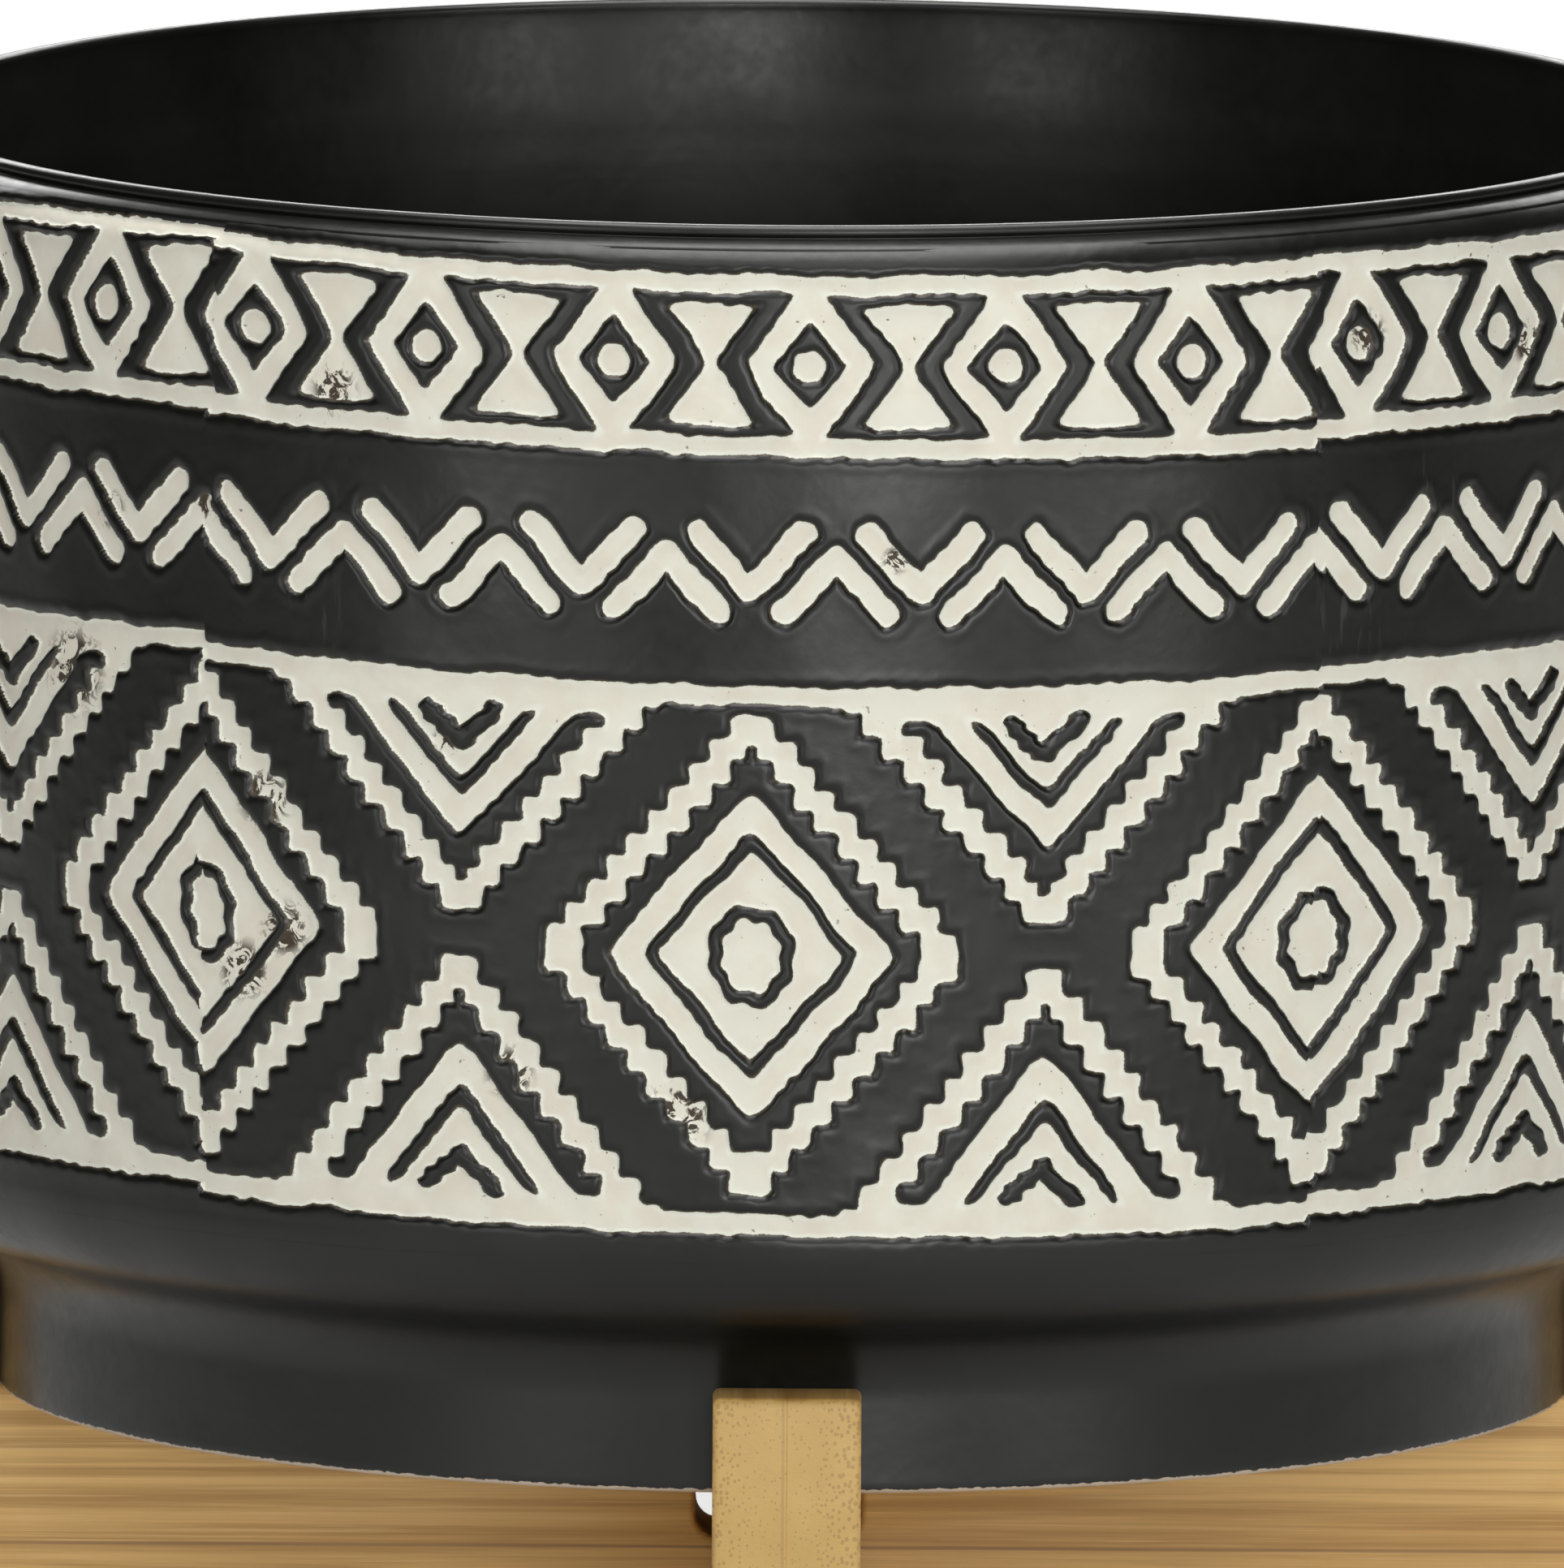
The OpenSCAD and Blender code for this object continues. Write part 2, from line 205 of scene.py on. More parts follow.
def heart(x, y, w, h, thick):
    """The small wavy ring at the middle of a diamond."""
    lobes = 0.28 * np.cos(8 * np.arctan2(y, x) + 0.6)
    outer = (np.hypot(x / w, y / h) - 1) * w + lobes
    w, h = w - thick, h - thick
    return smax(outer, (1 - np.hypot(x / w, y / h)) * w - lobes, 0.4)


def half_heart(x, y, w, h, half):
    """The small bent stroke in a half diamond, its tip h from the band's edge."""
    right = stroke(x, y, 0, h - half, w, HALF_HEART_RIGHT, half)
    left = stroke(x, y, 0, h - half, -w, HALF_HEART_LEFT, half)
    return np.minimum(right, left) - 0.2


def diamond_band(theta, v):
    """White stepped diamonds on black with rings in them, and half diamonds along both edges of the band."""
    big_x, big_y = fold(theta, DIA_PHASE, DIA_PITCH), v - DIA_MID
    half_x = fold(theta, DIA_PHASE + DIA_PITCH / 2, DIA_PITCH)
    half_rows = ((DIA_HIGH, -1, UPPER_HALF_H), (DIA_LOW, 1, LOWER_HALF_H))
    field = -stepped(big_x, big_y, DIA_W, DIA_H, DIA_STEPS)
    for base, _, half_h in half_rows:
        field = smax(field, -stepped(half_x, v - base, DIA_W, half_h, DIA_STEPS), 0.6)
    field = smax(field, np.maximum(v - (DIA_HIGH - UPPER_MARGIN), DIA_LOW + LOWER_MARGIN - v), 0.8)
    middle = heart(big_x, big_y, HEART_W, HEART_H, HEART_LINE)
    black = np.minimum(field, np.minimum(rings(big_x, big_y, 1.0), middle))
    for base, sign, half_h in half_rows:
        y = (v - base) * sign
        black = np.minimum(black, smax(rings(half_x, y, half_h / DIA_H), HALF_RING_FROM - y, 1.4))
        bent_x = half_x + 0.3 * np.sin(y * 2.9 + half_x)
        black = np.minimum(black, half_heart(bent_x, y, HALF_HEART_W, HALF_HEART_H, HALF_HEART_LINE))
    return np.minimum(black, np.minimum(DIA_HIGH - v, v - DIA_LOW))


# The pattern comes as five sheets, each laid a little high, low or tilted. A row is a sheet, and holds the
# lift of each edge line in LINE_V: at the sheet's middle, its rise towards the right edge, and its bow. The
# three sheets that the photo shows are measured on it, and the two behind are guesses.
LINE_V = (DIA_LOW, DIA_HIGH, EYE_LOW, EYE_HIGH)
SHEET_DEG, SHEET_FROM = 72.0, -38.0
SHEET_LIFT = (
    ((0.21, -1.15, 0.29), (0.57, -1.06, 0.92), (0.32, -1.46, 0.09), (0.99, -1.08, 1.17)),
    ((0.82, 0.5, 0.0), (-0.59, -1.59, 0.0), (-0.47, -0.83, 0.0), (-0.29, -1.75, 0.0)),
    ((0.3, -0.4, 0.2), (0.2, 0.5, 0.3), (0.4, 0.6, 0.1), (0.1, 0.4, 0.2)),
    ((1.0, 0.7, 0.0), (0.6, -0.3, 0.2), (0.5, 0.2, 0.0), (0.8, -0.4, 0.2)),
    ((2.9, 0.1, 0.0), (2.38, 1.66, 0.0), (2.47, 0.1, 0.0), (1.69, 2.9, 0.0)),
)

# How far each sheet's diamonds are shifted to the right, in degrees
SHEET_SHIFT = (0.0, 0.0, 0.3, -0.3, 0.9)
SEAM_SLANT, SEAM_UPRIGHT_V = 0.004, 100


def pattern(theta, v, lean):
    """Signed distance to the black glaze, negative in it, with the seams moved by lean degrees."""
    place = (theta + lean - SHEET_FROM - SEAM_SLANT * (v - SEAM_UPRIGHT_V)) % 360
    sheet = np.floor(place / SHEET_DEG).astype(int)
    t = (place - lean - SHEET_DEG * (sheet + 0.5)) / (SHEET_DEG / 2)
    table = np.array(SHEET_LIFT)[sheet]
    lift = table[..., 0] + table[..., 1] * t[..., None] + table[..., 2] * t[..., None] ** 2
    at = np.clip(np.searchsorted(LINE_V, v) - 1, 0, 2)
    low, high = np.take(LINE_V, at), np.take(LINE_V, at + 1)
    share = np.clip((v - low) / (high - low), -0.2, 1.2)
    a = np.take_along_axis(lift, at[..., None], -1)[..., 0]
    b = np.take_along_axis(lift, at[..., None] + 1, -1)[..., 0]
    v = v - a - (b - a) * share
    slip = np.array(SHEET_SHIFT)[sheet]
    bands = [diamond_band(theta - slip, v), chevron_band(theta, v)]
    return np.select([v < CHEVRON_FROM, v < CHEVRON_TO], bands, eye_band(theta, v))


# ---------------------------------------------------------------- meshes
def make(name, points, quads, normals=None, numbers=None):
    """A smooth mesh object from points in mm and an array of quads, with a named number for each point."""
    points = np.asarray(points, float).reshape(-1, 3) * MM
    quads = np.asarray(quads, np.int32).reshape(-1, 4)
    mesh = bpy.data.meshes.new(name)
    mesh.vertices.add(len(points))
    mesh.vertices.foreach_set("co", points.ravel())
    mesh.loops.add(quads.size)
    mesh.loops.foreach_set("vertex_index", quads.ravel())
    mesh.polygons.add(len(quads))
    mesh.polygons.foreach_set("loop_start", np.arange(0, quads.size, 4, dtype=np.int32))
    mesh.update(calc_edges=True)
    mesh.polygons.foreach_set("use_smooth", np.ones(len(quads), bool))
    for key, values in (numbers or {}).items():
        data = mesh.attributes.new(key, "FLOAT", "POINT").data
        data.foreach_set("value", np.ascontiguousarray(values, np.float32).ravel())
    if normals is not None:
        mesh.normals_split_custom_set_from_vertices(np.asarray(normals, float).reshape(-1, 3).tolist())
    thing = bpy.data.objects.new(name, mesh)
    bpy.context.scene.collection.objects.link(thing)
    return thing


def grid_quads(rows, columns, closed):
    """Quads over a grid of points. Their front is where (way along a row) x (way up a column) points."""
    j = np.arange(columns if closed else columns - 1)
    i = np.arange(rows - 1)[:, None]
    a, b = i * columns + j, i * columns + (j + 1) % columns
    return np.stack([a, b, b + columns, a + columns], -1).reshape(-1, 4)


def on_wall(theta, r, z):
    """Points at an angle and a radius round the pot's axis, z above its seat."""
    t = np.radians(theta)
    return np.stack(np.broadcast_arrays(r * np.sin(t), -r * np.cos(t), z + SEAT), -1)


def wall_normals(points):
    """Outward normals of a grid that is closed round the pot."""
    around = np.roll(points, -1, 1) - np.roll(points, 1, 1)
    up = np.gradient(points, axis=0)
    n = np.cross(around, up)
    return n / np.linalg.norm(n, axis=-1, keepdims=True)


COLUMNS, ROW_STEP = 2160, 0.36
WALL_FROM, WALL_TO = 33.2, 168.6
RELIEF, EDGE_ROUND = 0.75, 1.0
SWELL, SWELL_AT, SWELL_W = 0.05, 1.3, 0.7
SEAM_LAP, LAP_FROM, LAP_TO = 0.15, 146.5, 162
rows_v = np.arange(WALL_FROM, WALL_TO + ROW_STEP / 2, ROW_STEP)
theta = np.arange(COLUMNS) * 360 / COLUMNS
TH, V = np.meshgrid(theta, rows_v)

soft_state = rng.bit_generator.state


def undulation(theta, v):
    """The hand-made unevenness of the outer wall. It is the same wherever it is asked for."""
    rng.bit_generator.state = soft_state
    swell = waves(theta, v, 7, (3, 14), (70, 160), 0.10) + waves(theta, v, 9, (16, 46), (16, 45), 0.035)
    return swell - 0.1


def unsteady(drift):
    """How far the edges of the pattern stray: a slow drift and a quick shake."""
    return waves(TH, V, 12, (28, 100), (9, 30), drift) + waves(TH, V, 14, (130, 330), (2.6, 6), 0.075)


bend_x, bend_v = unsteady(0.16), unsteady(0.14)
PT, PV = TH + bend_x / MM_PER_DEG, V + bend_v
seam_bend = 0.12 * np.sin(V * 0.55) + 0.10 * np.sin(V * 0.23 + 1.0)
first_cut, second_cut = pattern(PT, PV, seam_bend + SEAM_LAP), pattern(PT, PV, seam_bend - SEAM_LAP)

# Where two sheets lap, the black of both shows from LAP_FROM to LAP_TO, and the slip of both elsewhere.
glaze_over = (V > LAP_FROM) & (V < LAP_TO)
black = np.where(glaze_over, np.minimum(first_cut, second_cut), np.maximum(first_cut, second_cut))

# The glaze stands over the slip with round shoulders, a little fuller just inside its edge.
ramp = np.clip(1 + black / EDGE_ROUND, 0, 1)
height = -RELIEF * (1 - np.sqrt(np.maximum(1 - ramp**2, 0)))
height += SWELL * np.exp(-(((black + SWELL_AT) / SWELL_W) ** 2))
slip_rough = waves(TH, V, 14, (150, 400), (2, 5), 0.008) + waves(TH, V, 6, (60, 120), (5, 12), 0.02)
height += np.where(black > 0, slip_rough, 0)

wall_r, wall_z = outside(V)
lean = np.clip((V - SHOULDER_Z) / SHOULDER_PATH, 0, SHOULDER_SWEEP)
droop = np.clip((TURN_Z - V) / TURN_R, 0, TURN_SWEEP)
push = undulation(TH, V) + height
wall = on_wall(TH, wall_r + push * np.cos(lean + droop), wall_z + push * (np.sin(lean) - np.sin(droop)))
wall_n = wall_normals(wall)

# Places where the slip is rubbed off: angle, height, radius
WORN = (
    (-29.0, 147.0, 3.0), (-33.5, 92.0, 3.6), (-32.0, 75.0, 3.2), (-35.0, 69.0, 3.5), (-17.0, 58.0, 3.0),
    (-6.5, 53.0, 4.0), (-49.0, 106.0, 5.0), (-38.0, 131.0, 2.6), (-46.0, 128.0, 2.2), (6.5, 127.0, 1.6),
    (38.0, 154.0, 2.6), (52.0, 150.0, 2.6), (-21.0, 102.0, 1.8),
    (95.0, 80.0, 4.0), (140.0, 60.0, 3.4), (176.0, 98.0, 3.6), (-150.0, 147.0, 3.0), (-100.0, 66.0, 3.6),
)
# and places where the black glaze is scuffed
SCUFFED = ((33.0, 127.0, 5.0), (36.0, 117.0, 5.5), (43.0, 132.0, 4.5), (34.0, 80.0, 3.5), (-30.0, 118.0, 4.0),
           (120.0, 118.0, 5.0), (-120.0, 126.0, 5.0), (170.0, 70.0, 5.0))


def patches(places):
    """How far each point of the wall is in one of the places: 1 at a middle, and fading out round it."""
    total = np.zeros_like(black)
    for angle, at_v, size in places:
        across = ((TH - angle + 180) % 360 - 180) * MM_PER_DEG
        total = np.maximum(total, np.exp(-(across**2 + (V - at_v) ** 2) / (size * size)))
    return total


worn = patches(WORN) - patches(SCUFFED)

POT_PIECES = []
SKIRT = 0.9


def wall_tile(name, first_row, last_row, first_column, columns, nodes):
    """One tile of the wall, with a skirt that tucks its edges into the body."""
    r = np.arange(first_row, last_row + 1)
    c = np.arange(first_column, first_column + columns + 1) % COLUMNS
    cut = np.ix_(r, c)
    points, normals = wall[cut], wall_n[cut]
    sdf, rub = black[cut], worn[cut]
    points = np.pad(points, ((1, 1), (1, 1), (0, 0)), "edge")
    normals = np.pad(normals, ((1, 1), (1, 1), (0, 0)), "edge")
    sdf, rub = np.pad(sdf, 1, "edge"), np.pad(rub, 1, "edge")
    rim = np.ones(sdf.shape, bool)
    rim[1:-1, 1:-1] = False
    points[rim] -= normals[rim] * SKIRT
    quads = grid_quads(len(r) + 2, len(c) + 2, False)
    tile = make(name, points, quads, normals, {"glaze": sdf, "worn": rub})
    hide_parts(*nodes)
    POT_PIECES.append(tile)
    return tile


# Rows where one band's tiles end and the next one's start, both in plain black
chevron_row = int(np.searchsorted(rows_v, CHEVRON_FROM - 0.5))
eye_row = int(np.searchsorted(rows_v, CHEVRON_TO + 0.3))
last_row = len(rows_v) - 1
FRONT_COLUMN = int((360 + SHEET_FROM) / 360 * COLUMNS)
fifth, tenth = COLUMNS // 5, COLUMNS // 10
RELIEF_TILES = []
for k in range(10):
    RELIEF_TILES.append(wall_tile(
        f"diamond_relief_{k}", 0, chevron_row, FRONT_COLUMN + k * tenth, tenth,
        ("diamond_band_slip", "diamond_band_glaze")))
for k in range(5):
    RELIEF_TILES.append(wall_tile(
        f"chevron_relief_{k}", chevron_row, eye_row, FRONT_COLUMN + k * fifth, fifth,
        ("chevron_band_slip", "chevron_band_glaze")))
    RELIEF_TILES.append(wall_tile(
        f"eye_relief_{k}", eye_row, last_row, FRONT_COLUMN + k * fifth, fifth,
        ("eye_band_slip", "eye_band_glaze")))


# ---------------------------------------------------------------- the rest of the pot
def arc(cx, cy, r, a0, a1, n):
    """Points on an arc, from a0 to a1 degrees."""
    a = np.radians(np.linspace(a0, a1, n + 1))
    return np.stack([cx + r * np.cos(a), cy + r * np.sin(a)], -1)


def line(x0, y0, x1, y1, n):
    """Points on a straight line in n steps."""
    return np.linspace((x0, y0), (x1, y1), n + 1)


# The wall's turn to the foot ends at FOOT_END_V, and LIP_END_V is just short of the end of the shoulder's.
FOOT_END_V, LIP_END_V = TURN_Z - TURN_R * TURN_SWEEP, 171.1
# The core sinks by CORE_SUNK behind the relief, between these distances in from the relief's edges.
CORE_SUNK, SINK_FROM, SINK_TO = 1.5, 0.6, 1.8
# Over the THICK_H below the rim the wall is up to THICK_BY thicker. From FLARE_HIGH down to FLARE_LOW the
# inside draws in to FLARE_R, over a rounded bottom corner.
THICK_BY, THICK_H = 4.0, 66
FLARE_HIGH, FLARE_LOW, FLARE_R, BOTTOM_CORNER = 50, 20, 98.0, 8
DRAIN_ROUND = 0.8


def pot_profile():
    """Points (radius, height) of the body: foot, cove, a core behind the relief, lip, inside, underside."""
    sweep = math.degrees(TURN_SWEEP)
    turn_x = belly(TURN_Z) - TURN_R
    start = (turn_x + TURN_R * math.cos(TURN_SWEEP), TURN_Z - TURN_R * math.sin(TURN_SWEEP))
    cove_x = FOOT_R + COVE_R * (1 - math.cos(TURN_SWEEP))
    cove_z = start[1] - (start[0] - cove_x) / math.tan(TURN_SWEEP)
    cove_from = cove_z - COVE_R * math.sin(TURN_SWEEP)
    core_v = np.concatenate([
        np.linspace(FOOT_END_V, WALL_FROM, 16), [WALL_FROM + SINK_FROM, WALL_FROM + 1.4],
        np.linspace(WALL_FROM + 3, WALL_TO - 3, 30), [WALL_TO - 1.4, WALL_TO - SINK_FROM],
        np.linspace(WALL_TO, LIP_END_V, 10)])
    sink_v = [WALL_FROM, WALL_FROM + SINK_FROM, WALL_FROM + SINK_TO,
              WALL_TO - SINK_TO, WALL_TO - SINK_FROM, WALL_TO]
    sunk = np.interp(core_v, sink_v, [0, 0.02, CORE_SUNK, CORE_SUNK, 0.02, 0])
    core = np.stack(outside(core_v), -1) - np.stack([sunk, 0 * sunk], -1)
    bead = POT_H - BEAD_R
    inner = LIP_R - LIP_T
    inside_z = np.linspace(POT_H - 1.9, FLARE_HIGH, 50)
    thicker = THICK_BY * np.sin(np.clip((POT_H - 1.2 - inside_z) / THICK_H, 0, 1) * math.pi)
    flare = np.linspace(0, 1, 20)
    flare_top_r = belly(FLARE_HIGH) - WALL_T
    flare_r = flare_top_r + (FLARE_R - flare_top_r) * flare**2 * (3 - 2 * flare)
    corner_r = FLARE_R - BOTTOM_CORNER
    parts = [
        arc(FOOT_R - FOOT_CHAMFER, FOOT_CHAMFER, FOOT_CHAMFER, -90, 0, 5),
        line(FOOT_R, 1.6, FOOT_R, cove_from, 14),
        arc(FOOT_R + COVE_R, cove_from, COVE_R, 180, 180 - sweep, 14)[1:],
        line(cove_x, cove_z, *start, 5)[1:-1],
        core,
        arc(LIP_R - BEAD_R, bead, BEAD_R, -60, 90, 10),
        arc(inner + BEAD_R, bead, BEAD_R, 90, 180, 8)[1:],
        [(inner, POT_H - 1.3)],
        np.stack([belly(inside_z) - WALL_T - thicker, inside_z], -1),
        np.stack([flare_r, FLARE_HIGH - (FLARE_HIGH - FLARE_LOW) * flare], -1)[1:],
        arc(corner_r, INSIDE_FLOOR + BOTTOM_CORNER, BOTTOM_CORNER, 0, -90, 10),
        line(corner_r - 6, INSIDE_FLOOR, DRAIN_R + DRAIN_ROUND, INSIDE_FLOOR, 12),
        arc(DRAIN_R + DRAIN_ROUND, INSIDE_FLOOR - DRAIN_ROUND, DRAIN_ROUND, 90, 180, 4),
        line(DRAIN_R, INSIDE_FLOOR - 2 * DRAIN_ROUND, DRAIN_R, FOOT_RING_H, 4),
        line(DRAIN_R + 1, FOOT_RING_H, FOOT_R - FOOT_RING_W - 2, FOOT_RING_H, 12),
        [(FOOT_R - FOOT_RING_W, 0.4), (FOOT_R - FOOT_RING_W + 0.6, 0)],
    ]
    heights = [core_v if part is core else np.full(len(part), np.nan) for part in parts]
    return np.concatenate([np.asarray(p, float) for p in parts]), np.concatenate(heights)


profile, profile_v = pot_profile()
SHELL_COLUMNS = 720
POINTS_OVER_LIP = 14
shell_theta = np.arange(SHELL_COLUMNS) * 360 / SHELL_COLUMNS
ST, SR = np.meshgrid(shell_theta, profile[:, 0])
SZ = np.repeat(profile[:, 1][:, None], SHELL_COLUMNS, 1)
SV = np.repeat(profile_v[:, None], SHELL_COLUMNS, 1)
fade = np.clip((SV - FOOT_END_V) / 6, 0, 1) * np.clip((LIP_END_V - SV) / 2.5, 0, 1)
shell_push = np.nan_to_num(undulation(ST, np.nan_to_num(SV)) * fade)
lip_at = int(np.argmax(profile[:, 1]))
past_lip = np.arange(len(profile))[:, None] > lip_at + POINTS_OVER_LIP

# Throwing rings on the inside of the wall
rings_in = past_lip & (SZ > INSIDE_FLOOR + 6) & (SZ < SHOULDER_Z + 2) & (SR > FLARE_R - BOTTOM_CORNER)
turning = 0.03 * np.sin(SZ * 2 * math.pi / 7.3 + 0.4 * np.sin(np.radians(ST) * 2)) * np.sin(SZ / 9.0)
shell_push = shell_push + np.where(rings_in, turning - 0.1, 0)
shell_points = on_wall(ST, SR + shell_push, SZ)
shell_quads = grid_quads(len(profile), SHELL_COLUMNS, True)
last = (len(profile) - 1) * SHELL_COLUMNS + np.arange(SHELL_COLUMNS)
first = np.arange(SHELL_COLUMNS)
closing = np.stack([last, np.roll(last, -1), np.roll(first, -1), first], -1)

# The clay is bare under the foot ring and on the underside.
bare = np.clip(1 - (SZ - 0.2) / 0.7, 0, 1) * (SR > FOOT_R - FOOT_RING_W - 1)
bare = np.maximum(bare, ((SZ <= FOOT_RING_H + 0.1) & (SR < FOOT_R - FOOT_RING_W + 1)).astype(float))
inside_mark = (past_lip & (SZ > INSIDE_FLOOR)).astype(float)
pot_shell = make("pot_shell", shell_points, np.concatenate([shell_quads, closing]), None,
                 {"bare": bare, "inside": inside_mark})
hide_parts("pot_body")
POT_PIECES.append(pot_shell)
for piece in POT_PIECES:
    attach(piece, "pot")


# ---------------------------------------------------------------- stand
def round_corner(p0, p1, p2, r, n=7):
    """Points on an arc of radius r that rounds the corner p1 between p0 and p2."""
    p0, p1, p2 = map(np.array, (p0, p1, p2))
    u, w = (p0 - p1) / np.linalg.norm(p0 - p1), (p2 - p1) / np.linalg.norm(p2 - p1)
    half = math.acos(float(u @ w)) / 2
    centre = p1 + (u + w) / np.linalg.norm(u + w) * r / math.sin(half)
    s, e = p1 + u * r / math.tan(half) - centre, p1 + w * r / math.tan(half) - centre
    a0, turn = math.atan2(s[1], s[0]), math.atan2(s[0] * e[1] - s[1] * e[0], s @ e)
    steps = max(n, int(r))
    return [centre + r * np.array((math.cos(a0 + turn * i / steps), math.sin(a0 + turn * i / steps)))
            for i in range(steps + 1)]


def outline(corners):
    """Corners (x, z, radius) made into a smooth outline."""
    points = []
    for i, (x, z, r) in enumerate(corners):
        before, after = corners[i - 1][:2], corners[(i + 1) % len(corners)][:2]
        points += round_corner(before, (x, z), after, r) if r > 0 else [np.array((x, z))]
    return np.array(points)


PAD_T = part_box("lower_left_pad")[1][2] / MM
BOARD_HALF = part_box("lower_board_front_ply")[1][0] / MM
LUG_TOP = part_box("lower_board_front_ply")[1][2] / MM
BOARD_T = (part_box("lower_board_rear_ply")[1][1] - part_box("lower_board_front_ply")[0][1]) / MM
LUG_T, SPLAY, SOLE, ARCH_Z, ARCH_R = 11.5, 5.0, 27.0, SEAT - 40.0, 22.0
SLOT_HALF, SLOT_R = BOARD_T / 2 + 1, 3.0
LOWER_SLOT_BASE, UPPER_SLOT_BASE = SEAT - 20.0, SEAT - 17.6
CORNER_R, KNEE_R, LUG_TIP_R, LUG_FOOT_R, ARCH_SLANT = 1.2, 30, 1.5, 0.6, 4
# The lower board's slot is a little to the left, and the upper board stands to the right in it.
LOWER_SLOT_SHIFT, UPPER_BOARD_SHIFT, FACE_PLAY = -0.6, 0.5, 0.2


def board_outline(open_up, shift):
    """A board's side view, its slot moved by shift and open at the top or at the arch."""
    low, inner = BOARD_HALF - SPLAY - SOLE, BOARD_HALF - LUG_T
    right = [(low, PAD_T, CORNER_R), (BOARD_HALF - SPLAY, PAD_T, CORNER_R), (BOARD_HALF, SEAT, KNEE_R),
             (BOARD_HALF, LUG_TOP, LUG_TIP_R), (inner, LUG_TOP, LUG_TIP_R), (inner, SEAT, LUG_FOOT_R)]
    left = [(-x, z, r) for x, z, r in reversed(right)]
    arch_x = low - ARCH_SLANT
    arch_r, arch_l = [(arch_x, ARCH_Z, ARCH_R)], [(-arch_x, ARCH_Z, ARCH_R)]
    a, b = shift + SLOT_HALF, shift - SLOT_HALF
    if open_up:
        base = LOWER_SLOT_BASE
        slot = [(a, SEAT, CORNER_R), (a, base, SLOT_R), (b, base, SLOT_R), (b, SEAT, CORNER_R)]
        return outline(arch_r + right + slot + left + arch_l)
    base = UPPER_SLOT_BASE
    slot = [(b, ARCH_Z, CORNER_R), (b, base, SLOT_R), (a, base, SLOT_R), (a, ARCH_Z, CORNER_R)]
    return outline(arch_r + right + left + arch_l + slot)


def inset(points, by):
    """The outline moved inwards."""
    before, after = np.roll(points, 1, 0), np.roll(points, -1, 0)
    t = (after - before) / np.maximum(np.linalg.norm(after - before, axis=1), 1e-9)[:, None]
    inward = np.stack([-t[:, 1], t[:, 0]], -1)
    return points + inward * by


def ply(name, shape, y_glue, y_face, along_y):
    """One ply: a fine chamfer at the glue line, a round edge at its outer face. It is built along x, and
    turned a quarter to the left where it runs along y."""
    sign = 1 if y_face > y_glue else -1
    thick, edge, seam = abs(y_face - y_glue), 1.0, 0.06
    layers = [(seam, 0.0), (0.0, seam)] + [(0.0, t) for t in (3, 6)]
    layers += [(edge * (1 - math.cos(a)), thick - edge * (1 - math.sin(a)))
               for a in np.radians(np.linspace(0, 90, 6))]
    points = []
    for inwards, depth in layers:
        ring = inset(shape, inwards)
        points.append(np.stack([ring[:, 0], np.full(len(ring), y_glue + sign * depth), ring[:, 1]], -1))
    n = len(shape)
    points = np.concatenate(points)
    if along_y:
        points = np.stack([-points[:, 1], points[:, 0], points[:, 2]], -1)
    quads = grid_quads(len(layers), n, True)
    faces = quads.tolist() + [list(range(n))[::-1], list(range((len(layers) - 1) * n, len(layers) * n))]
    if sign > 0:
        faces = [f[::-1] for f in faces]
    mesh = bpy.data.meshes.new(name)
    mesh.from_pydata((points * MM).tolist(), [], faces)
    mesh.update()
    mesh.polygons.foreach_set("use_smooth", np.ones(len(faces), bool))
    mesh.set_sharp_from_angle(angle=math.radians(35))
    thing = bpy.data.objects.new(name, mesh)
    bpy.context.scene.collection.objects.link(thing)
    return thing


lower_shape, upper_shape = board_outline(True, LOWER_SLOT_SHIFT), board_outline(False, 0.0)
half_t = BOARD_T / 2 - FACE_PLAY
PLIES = (
    ("front_ply", lower_shape, -half_t, False, "lower_board_front_ply", "lower_board"),
    ("rear_ply", lower_shape, half_t, False, "lower_board_rear_ply", "lower_board"),
    ("left_ply", upper_shape, half_t, True, "upper_board_left_ply", "upper_board"),
    ("right_ply", upper_shape, -half_t, True, "upper_board_right_ply", "upper_board"),
)
boards = []
for name, shape, face, along_y, node, body in PLIES:
    glue = -UPPER_BOARD_SHIFT if along_y else 0.0
    piece = ply(name, shape, glue, glue + face, along_y)
    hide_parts(node)
    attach(piece, body)
    boards.append((piece, along_y))


def lathe(name, points, centre, columns):
    """A turned piece whose profile starts and ends a hair, AXIS_R, from its axis."""
    points = np.asarray(points, float)
    t = np.arange(columns) * 2 * math.pi / columns
    grid = np.stack([centre[0] + points[:, :1] * np.cos(t), centre[1] + points[:, :1] * np.sin(t),
                     np.repeat(points[:, 1:], columns, 1)], -1)
    return make(name, grid, grid_quads(len(points), columns, True))


